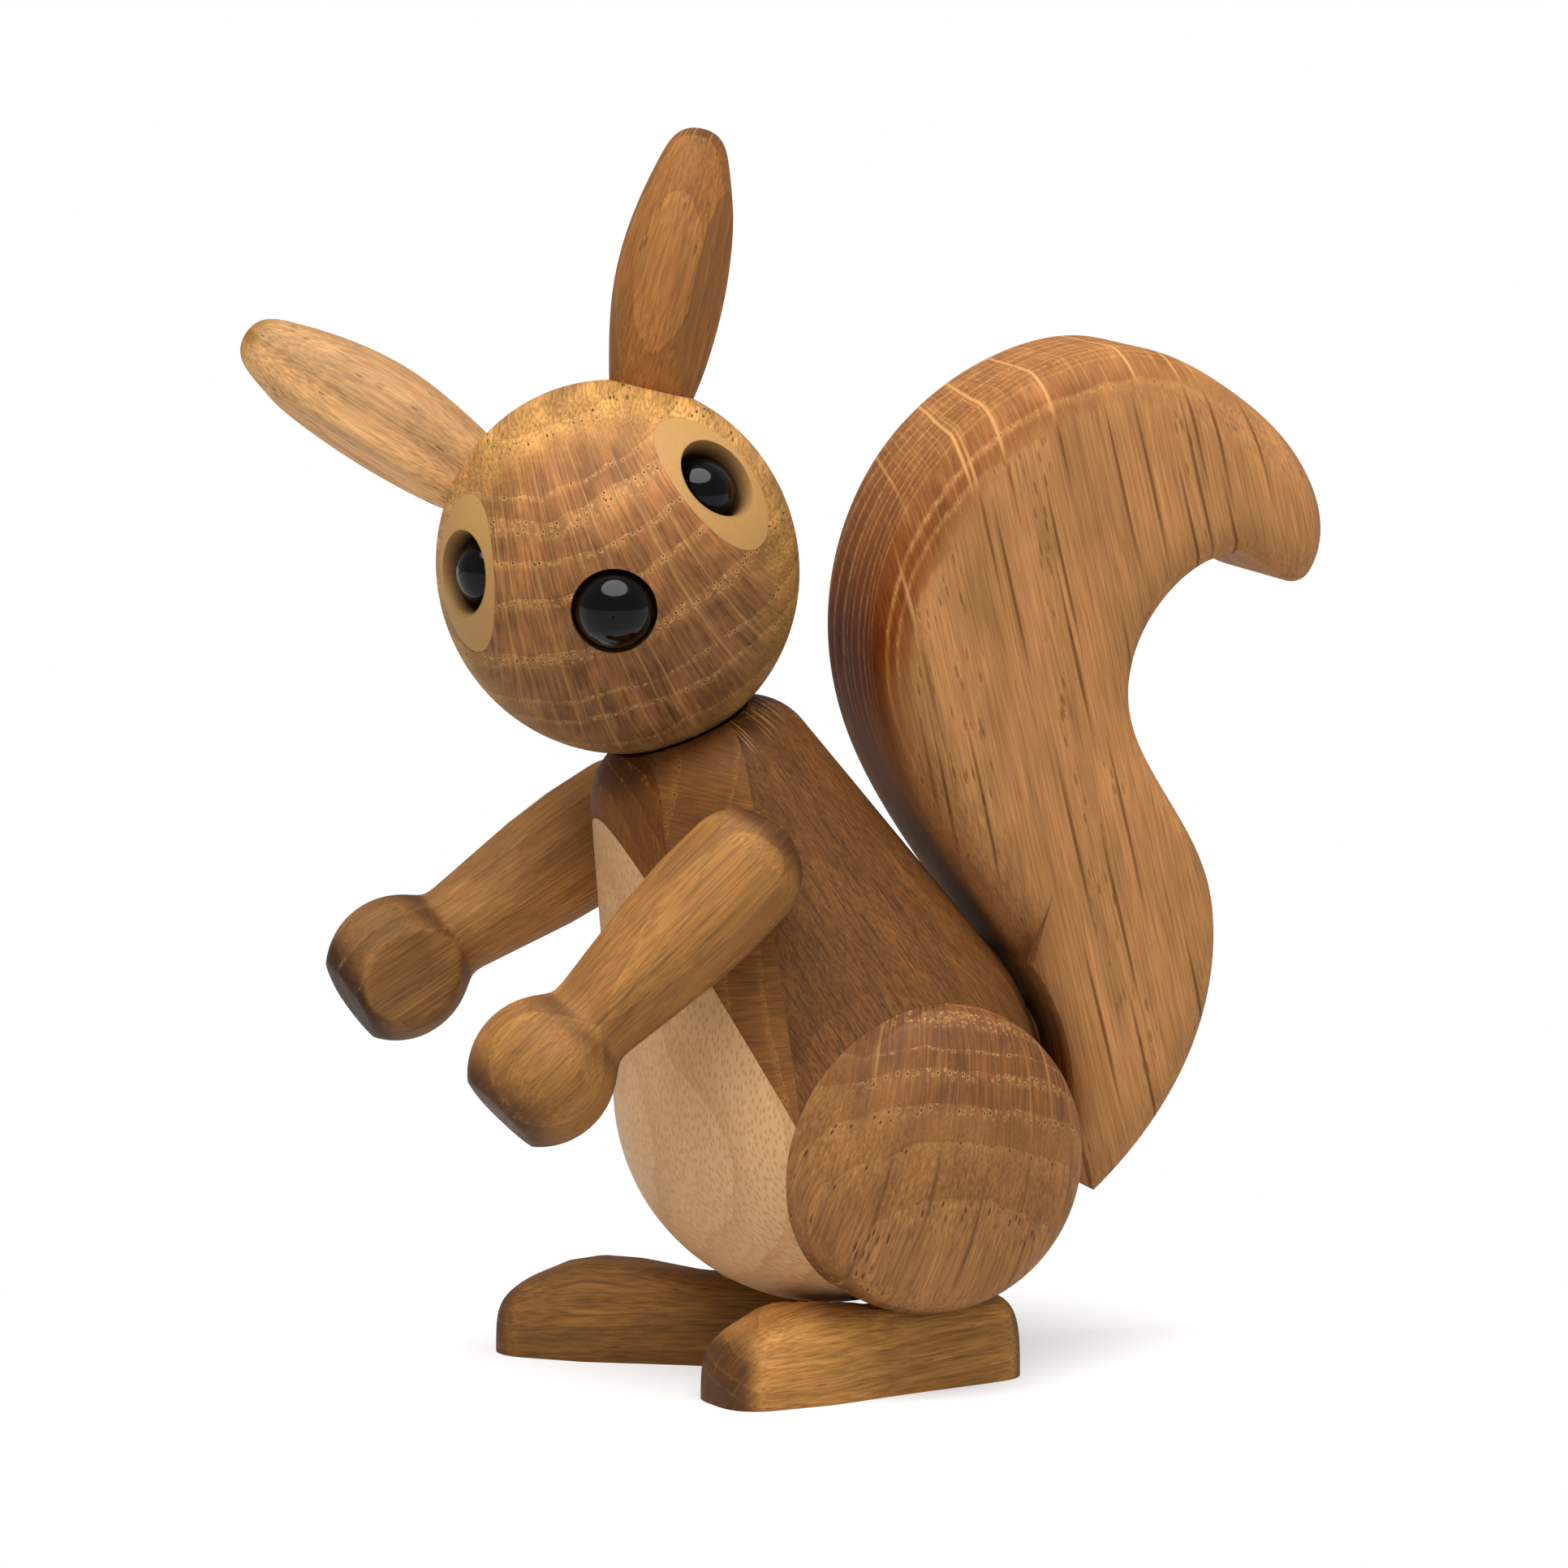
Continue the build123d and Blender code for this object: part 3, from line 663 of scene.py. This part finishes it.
# Eyes and nose: turned balls lacquered black and polished, pressed in on a peg.
# Deep black with a clear gloss that shows the soft box overhead.
dust_scale = 900.0
bead, tree = blank_material("black_lacquer_polished_bead")
place = add_node(tree, "TexCoord", {})
dust = add_node(
    tree, "TexNoise", {"Vector": place.outputs["Object"], "Scale": dust_scale, "Detail": 3.0}
).outputs[0]
rough = add_node(
    tree, "MapRange", {"Value": dust, "From Min": 0.3, "From Max": 0.75, "To Min": 0.06, "To Max": 0.16}
).outputs[0]
shader = add_node(
    tree, "BsdfPrincipled", {"Base Color": linear("#030303"), "Roughness": rough, "IOR": 1.3}
)
add_node(tree, "OutputMaterial", {"Surface": shader.outputs[0]})
for name in ("eye_bead_left", "eye_bead_right", "nose_bead"):
    dress(name, bead)

# Ears: turned oak spindles with one face planed flat, glued on a dowel.
# The left ear is brown. The right one is from paler stock, painted paler still as light on its lower facet,
# and painted darker along its upper edge as shade.
dress(
    "ear_left",
    oak(
        "oiled_oak_planed_ear_left",
        grain=(-0.005, 0.30, 0.954),
        radial=(0.9, -0.3, 0.0),
        pith=(-40.0, 0.0, 130.0),
        pith_distance=45.0,
        ring=3.0,
        light="#9c6732",
        dark="#73441c",
        end_light="#84542a",
        end_dark="#683d1a",
        ray_share=0.25,
    ),
)
dress(
    "ear_right",
    oak(
        "oiled_oak_planed_ear_right",
        grain=(-0.435, -0.742, 0.511),
        radial=(0.06, 0.54, 0.83),
        pith=(-17.7, -75.9, 73.7),
        pith_distance=50.0,
        ring=2.4,
        # Pale stock, made paler still as painted light for the lower facet
        light="#e2ac72",
        dark="#ca9058",
        end_light="#d6a261",
        end_dark="#b47e40",
        ray_share=0.25,
        ring_share=0.35,
        # Painted shade: darker along the upper edge, away from the pith
        pith_tone_and_painted_shade=(48.0, 50.2, 0.57),
    ),
)

# Arms: oak limbs shaped with a moulding cutter from both sides, which leaves a ridge along the middle.
# Grain runs from shoulder to hand, the wrist is waisted, and each arm turns on its shoulder pin.


def skin(node_name, rings, material):
    """Closes a surface through rings of points in mm and lets it stand for a CAD piece on its own body.

    Each ring joins the next by quads, and the first and last ring close on their mean point by triangles.
    """
    rings = np.asarray(rings) / 1000
    count, points = rings.shape[:2]
    corners = np.concatenate([rings.reshape(-1, 3), rings[:1].mean(axis=1), rings[-1:].mean(axis=1)])
    here = np.arange(count * points).reshape(count, points)
    beside = np.roll(here, -1, axis=1)
    walls = np.stack([here[:-1], beside[:-1], beside[1:], here[1:]], axis=-1).reshape(-1, 4)
    middle = np.full(points, count * points)
    first_cap = np.stack([middle, beside[0], here[0]], axis=-1)
    last_cap = np.stack([middle + 1, here[-1], beside[-1]], axis=-1)
    mesh = bpy.data.meshes.new(node_name + "_carved")
    mesh.from_pydata(corners.tolist(), [], walls.tolist() + first_cap.tolist() + last_cap.tolist())
    mesh.set_sharp_from_angle(angle=radians(40))
    mesh.materials.append(material)
    piece = bpy.data.objects.new(node_name + "_carved", mesh)
    bpy.context.scene.collection.objects.link(piece)
    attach(piece, node_name)
    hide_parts(node_name)


shoulder = np.array((0.0, -15.407, 64.487))
arm_spread = 22.504
arm_inner_flat = 6.3
arm_length = 32.7
arm_root_radius = 7.1
hand_radius = 8.8
hand_flat = 7.0
chamfer_depth = 0.15
chamfer_width = 0.5
limb_at = (0, 6, 12, 18, 24, 30, 36)
limb_half_width = (7.1, 7.1, 6.8, 6.2, 5.7, 5.6, 0.0)
limb_half_height = (7.6, 7.7, 7.3, 6.5, 5.7, 5.6, 0.0)
wrist_power = 10
ridge_power = 1.65
arm_drops = {"left": 42.5, "right": 30.8}
# The near left arm is painted darker against the light on its top, and the far right arm painted lighter on
# its shaded face. The far hand darkens towards its end, partly from oil and partly as painted shade.
arm_tones = {
    "left": ("#9a6a34", "#7d5027", None),
    "right": ("#b78249", "#895b2c", (2.0, 9.0, 0.55)),
}

# Stations run from the round root to the hand's flat end, which has a small chamfer.
# At each one the radius is a high power mean of the limb's and the hand ball's, so the wrist stays crisp,
# and the section is a superellipse of a low power, which gives the ridge.
root_turns = np.radians(np.linspace(-88, -4, 14))
arm_tip = arm_length + hand_flat
arm_at = np.concatenate(
    [
        arm_root_radius * np.sin(root_turns),
        np.linspace(0.0, arm_tip - chamfer_width, 70),
        [arm_tip - chamfer_depth, arm_tip],
    ]
)
root_share = np.where(arm_at < 0, np.sqrt(np.maximum(1 - (arm_at / arm_root_radius) ** 2, 0)), 1)
hand = np.sqrt(np.maximum(hand_radius**2 - (arm_at - arm_length) ** 2, 0))
arm_radii = []
for limb_radii in (limb_half_width, limb_half_height):
    limb = np.interp(arm_at, limb_at, limb_radii) * root_share
    arm_radius = (limb**wrist_power + hand**wrist_power) ** (1 / wrist_power)
    arm_radius = np.minimum(arm_radius, hand_radius)
    arm_radius[-1] -= chamfer_width
    arm_radii.append(arm_radius)
arm_out, arm_up = arm_radii
turns = np.linspace(0, 2 * np.pi, 72, endpoint=False)
outward = np.sign(np.cos(turns)) * np.abs(np.cos(turns)) ** (2 / ridge_power)
upward = np.sign(np.sin(turns)) * np.abs(np.sin(turns)) ** (2 / ridge_power)
out_by = np.maximum(arm_out[:, None] * outward, -arm_inner_flat)
up_by = arm_up[:, None] * upward
for side, name in ((1, "left"), (-1, "right")):
    drop = radians(arm_drops[name])
    light, dark, hand_oil_and_painted_shade = arm_tones[name]
    reach = np.array((0.0, -cos(drop), -sin(drop)))
    rise = np.array((0.0, -sin(drop), cos(drop)))
    arm_centre = shoulder + np.array((side * arm_spread, 0.0, 0.0))
    arm_rings = (
        arm_centre
        + arm_at[:, None, None] * reach
        + out_by[..., None] * np.array((side, 0.0, 0.0))
        + up_by[..., None] * rise * side
    )
    skin(
        f"arm_{name}",
        arm_rings,
        oak(
            f"oiled_oak_carved_arm_{name}",
            grain=(0.0, -cos(drop), -sin(drop)),
            radial=(side * 0.8, 0.0, 0.6),
            pith=(side * -10.0, -25.0, 40.0),
            pith_distance=35.0,
            ring=3.2,
            light=light,
            dark=dark,
            end_light="#784c27",
            end_dark="#513118",
            ray_side="#4f2e11",
            ray_end="#6a411f",
            pore_share=0.3,
            ray_share=0.35,
            rim_share=0.2,
            mottle=0.16,
            tip=hand_oil_and_painted_shade,
        ),
    )

# Feet: long carved soles of oak with a round toe and a hump, each turning on an upright pin under the body.
# Grain runs from toe to heel, and the top is dished where the body passes over it.
foot_length = 41.0
foot_width = 14.5
foot_height = 11.4
toe_reach = 30.0
toe_share = 0.12
toe_power = 3
heel_share = 0.11
heel_power = 2.4
side_power = 3.2
end_fall = 0.6
swivel = 12.0
ball_centre = np.array((0.0, 3.2, 34.3))
ball_clear = 26.0
haunch_place = (14.0, 9.2, 28.8)
haunch_clear = 19.0
haunch_margin = 0.4
foot_pins = {"left": (9.0, 13.2, 11.0), "right": (-10.0, -4.5, -33.0)}
foot_tones = {"left": ("#c48b49", "#98652f"), "right": ("#906331", "#6f461e")}

# A foot is a height over its sole: half width and crest run from toe to heel and round off at both ends,
# and the section across is a superellipse. The height is then held under the body's ball and haunches
# at nine steps of the swivel, so the foot clears them all the way.
foot_at = (1 - np.cos(np.linspace(0.04, np.pi - 0.04, 60))) / 2
foot_across = -np.cos(np.linspace(0, np.pi, 37))
toe_round = np.maximum(1 - foot_at / toe_share, 0)
heel_round = np.maximum(1 - (1 - foot_at) / heel_share, 0)
foot_end = (1 - toe_round**toe_power) ** (1 / toe_power) * (1 - heel_round**heel_power) ** (1 / heel_power)
half_width = np.interp(foot_at, (0, 0.1, 0.3, 0.58, 0.84, 1), (0.78, 0.9, 1.0, 0.86, 0.8, 0.72))
half_width = half_width * foot_end * foot_width / 2
crest_at = (0, 0.06, 0.12, 0.2, 0.3, 0.42, 0.6, 0.84, 1)
crest = np.interp(foot_at, crest_at, (0.6, 0.7, 0.8, 0.93, 1.0, 0.99, 0.9, 0.88, 0.86))
crest = crest * foot_height * foot_end**end_fall
for name, (pin_x, pin_y, toe_out) in foot_pins.items():
    heel_way = np.array((-sin(radians(toe_out)), cos(radians(toe_out)), 0.0))
    side_way = np.array((heel_way[1], -heel_way[0], 0.0))
    pin_foot = np.array((pin_x, pin_y, 0.0))
    sole_points = (
        pin_foot
        + (foot_at * foot_length - toe_reach)[:, None, None] * heel_way
        + (half_width[:, None] * foot_across)[..., None] * side_way
    )
    from_pin = sole_points[..., :2] - pin_foot[:2]
    top = crest[:, None] * (1 - np.abs(foot_across) ** side_power) ** (1 / side_power)
    for swing in np.radians(np.linspace(-swivel, swivel, 9)):
        swung_x = pin_x + cos(swing) * from_pin[..., 0] - sin(swing) * from_pin[..., 1]
        swung_y = pin_y + sin(swing) * from_pin[..., 0] + cos(swing) * from_pin[..., 1]
        from_ball = (swung_x - ball_centre[0]) ** 2 + (swung_y - ball_centre[1]) ** 2
        under_ball = ball_centre[2] - np.sqrt(np.maximum(ball_clear**2 - from_ball, 0))
        top = np.minimum(top, np.where(from_ball < ball_clear**2, under_ball, top))
        from_haunch = (swung_y - haunch_place[1]) ** 2
        under_haunch = haunch_place[2] - np.sqrt(np.maximum(haunch_clear**2 - from_haunch, 0))
        below = (np.abs(swung_x) > haunch_place[0] - haunch_margin) & (from_haunch < haunch_clear**2)
        top = np.minimum(top, np.where(below, under_haunch, top))
    top_points = sole_points + top[..., None] * np.array((0.0, 0.0, 1.0))
    foot_rings = np.concatenate([top_points[:, ::-1], sole_points[:, 1:-1]], axis=1)
    light, dark = foot_tones[name]
    skin(
        f"foot_{name}",
        foot_rings,
        oak(
            f"oiled_oak_carved_foot_{name}",
            grain=(-sin(radians(toe_out)), cos(radians(toe_out)), 0.05),
            radial=(0.3, 0.0, 1.0),
            pith=(0.0, 0.0, -30.0),
            pith_distance=35.0,
            ring=2.6,
            light=light,
            dark=dark,
            end_light="#8a5b2c",
            end_dark="#64401f",
            ray_side="#5e3917",
            ray_end="#6b4421",
            ray_share=0.4,
            pore_share=0.45,
            early_share=0.25,
            rim_share=0.15,
            mottle=0.2,
            fibre_depth=0.36,
        ),
    )

# Tail: a thick flat-sawn oak board, sawn to a curl, rounded over along its crown and set on a dowel.
# The flank shows long dark rays, and the crown is end grain with orange rings crossed by pale rays. Its lower
# front is darker: oil-dark end grain with painted shade.
dress(
    "tail",
    oak(
        "oiled_oak_sanded_tail",
        grain=(0.0, 0.234, -0.972),
        radial=(1.0, 0.0, 0.0),
        pith=(-110.0, 40.0, 80.0),
        pith_distance=115.0,
        ring=2.0,
        light="#b07c4c",
        dark="#9b693c",
        end_light="#c08c52",
        end_dark="#936036",
        ray_side="#5f3716",
        ray_end="#cf9a5c",
        ray_gap=1.6,
        ray_length=80.0,
        ray_share=0.75,
        fleck_share=0.2,
        wander=1.2,
        end_from=0.1,
        end_to=0.55,
        crown=(0.0, -0.6, 0.8),
        crown_radius=8.0,
        ring_share=0.25,
        knot=(14.0, 14.0, 66.0),
        # Dark lower front of the crown: oil-dark end grain with painted shade from the head and body
        edge_dark_and_painted_shade="#682c04",
        early_share=0.35,
        pore_share=0.5,
        pore_end="#c99254",
        sheen=0.08,
        rim_share=0.6,
        fibre_depth=0.24,
    ),
)

# Stage: a sheet of matt white paper as the floor, far wider than the view.
# Near the feet it takes their shadow, and further out it fades to plain white.
floor_half = 30.0
fade_from = 0.055
fade_to = 0.11
lift_strength = 0.5
white_strength = 1.0
white = (1, 1, 1, 1)
floor_mesh = bpy.data.meshes.new("floor")
corners = np.array([(-1, -1, 0), (1, -1, 0), (1, 1, 0), (-1, 1, 0)]) * floor_half
floor_mesh.from_pydata(corners.tolist(), [], [(0, 1, 2, 3)])
floor = bpy.data.objects.new("floor", floor_mesh)
bpy.context.scene.collection.objects.link(floor)
paper, tree = blank_material("white_paper_matt")
place = add_node(tree, "TexCoord", {})
reach = add_node(tree, "VectorMath", {0: place.outputs["Object"]}, operation="LENGTH").outputs["Value"]
fade = add_node(
    tree,
    "MapRange",
    {"Value": reach, "From Min": fade_from, "From Max": fade_to},
    interpolation_type="SMOOTHSTEP",
).outputs[0]
lit = add_node(tree, "BsdfDiffuse", {"Color": linear("#c8c8c8")}).outputs[0]
lift = add_node(tree, "Emission", {"Color": white, "Strength": lift_strength}).outputs[0]
near = add_node(tree, "AddShader", {0: lit, 1: lift}).outputs[0]
plain = add_node(tree, "Emission", {"Color": white, "Strength": white_strength}).outputs[0]
seen = add_node(tree, "MixShader", {0: fade, 1: near, 2: plain}).outputs[0]

# The white shows to the camera, in gloss and through glass, and adds no light to the figure
path = add_node(tree, "LightPath", {})
mirrored = add_node(
    tree, "Math", {0: path.outputs["Is Camera Ray"], 1: path.outputs["Is Glossy Ray"]}, operation="ADD"
).outputs[0]
direct = add_node(
    tree, "Math", {0: mirrored, 1: path.outputs["Is Transmission Ray"]}, operation="ADD", use_clamp=True
).outputs[0]
both = add_node(tree, "MixShader", {0: direct, 1: lit, 2: seen}).outputs[0]
add_node(tree, "OutputMaterial", {"Surface": both})
floor_mesh.materials.append(paper)

# Room: an even dim white all round, which fills the shadows.
# It is kept low, so that the soft box gives the figure its form.
room_strength = 0.38
world = bpy.data.worlds.new("studio_room")
world.use_nodes = True
tree = world.node_tree
tree.nodes.clear()
room = add_node(tree, "Background", {"Color": white, "Strength": room_strength}).outputs[0]
add_node(tree, "OutputWorld", {"Surface": room})
bpy.context.scene.world = world

# Camera at the photograph's angle: 71 degrees round from the front and 8 degrees up.
# The long lens from 1 m keeps the figure's proportions flat, as in the photograph.
view_turn = radians(71.0)
view_rise = radians(8.0)
target = Vector((0.0, -0.00233, 0.07108))
view_distance = 1.0
right = Vector((cos(view_turn), sin(view_turn), 0.0))
back = Vector((sin(view_turn) * cos(view_rise), -cos(view_turn) * cos(view_rise), sin(view_rise)))
up = back.cross(right)
camera_data = bpy.data.cameras.new("camera")
camera_data.lens = 193.8
camera_data.sensor_width = 36.0
camera = bpy.data.objects.new("camera", camera_data)
camera_turn = Matrix((right, up, back)).transposed().to_4x4()
camera.matrix_world = Matrix.Translation(target + back * view_distance) @ camera_turn
bpy.context.scene.collection.objects.link(camera)
bpy.context.scene.camera = camera

# Soft box: one large oval lamp high over the figure on the camera's side.
# It gives the beads their highlight and a soft shadow under the feet.
box_rise = radians(70.0)
box_distance = 0.9
box_way = Vector((sin(view_turn) * cos(box_rise), -cos(view_turn) * cos(box_rise), sin(box_rise)))
box_data = bpy.data.lights.new("soft_box", "AREA")
box_data.shape = "ELLIPSE"
box_data.size = 1.1
box_data.size_y = 0.9
box_data.energy = 15.0
soft_box = bpy.data.objects.new("soft_box", box_data)
soft_box.location = target + box_way.normalized() * box_distance
soft_box.rotation_euler = box_way.to_track_quat("Z", "Y").to_euler()
bpy.context.scene.collection.objects.link(soft_box)

bpy.context.scene.view_settings.view_transform = "Standard"
